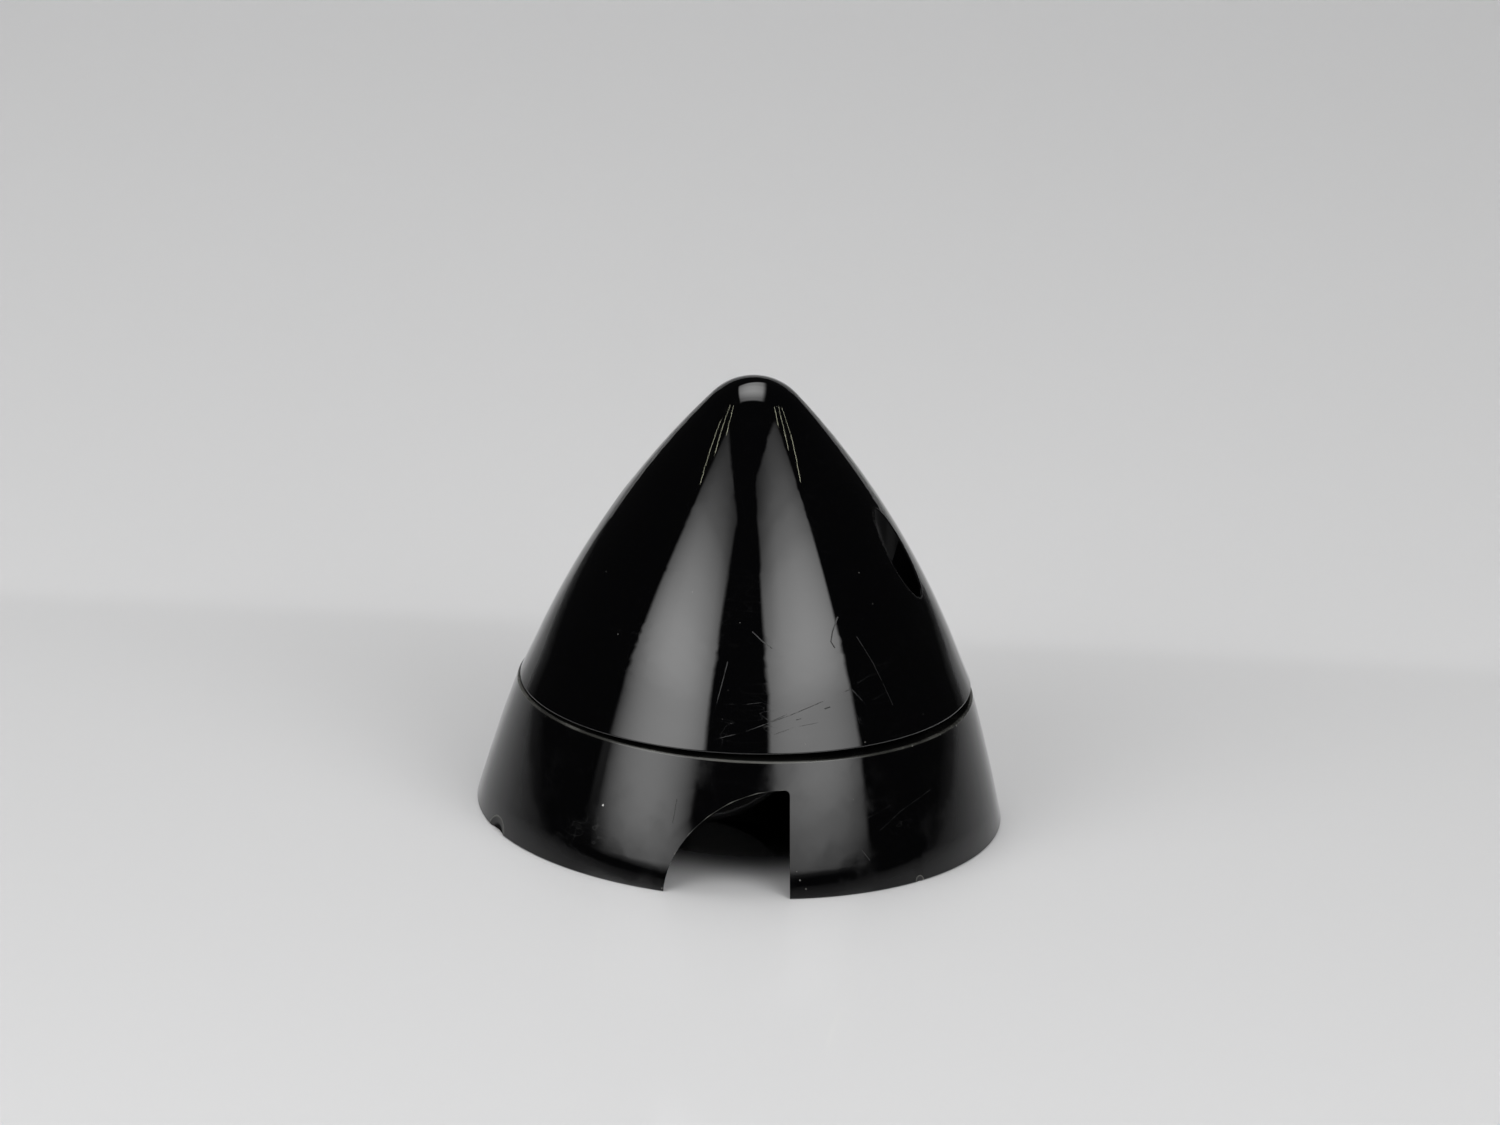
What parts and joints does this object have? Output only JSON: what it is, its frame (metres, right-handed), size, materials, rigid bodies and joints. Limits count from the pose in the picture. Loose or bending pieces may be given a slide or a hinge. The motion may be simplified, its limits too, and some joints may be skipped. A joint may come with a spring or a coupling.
{
  "type": "propeller spinner",
  "caption": "Pointed black plastic nose spinner for a model aircraft propeller: a hollow cap screwed to a ring with notches for the blade roots.",
  "frame": {"origin": "centre of the open rim that the spinner stands on", "axes": "+Z along the turning axis to the nose, -Y where the first blade leaves the ring, +X to the right as seen from there"},
  "size_m": [0.05, 0.0488, 0.0425],
  "materials": {
    "ring_plastic": "moulded gloss black, finely scratched",
    "cap_plastic": "moulded gloss black, finely scratched",
    "screw_steel": "zinc plated steel"
  },
  "bodies": {
    "root": {"blade_ring": "ring_plastic", "nose_cap": "cap_plastic", "cap_screws": "screw_steel"}
  },
  "joints": []
}
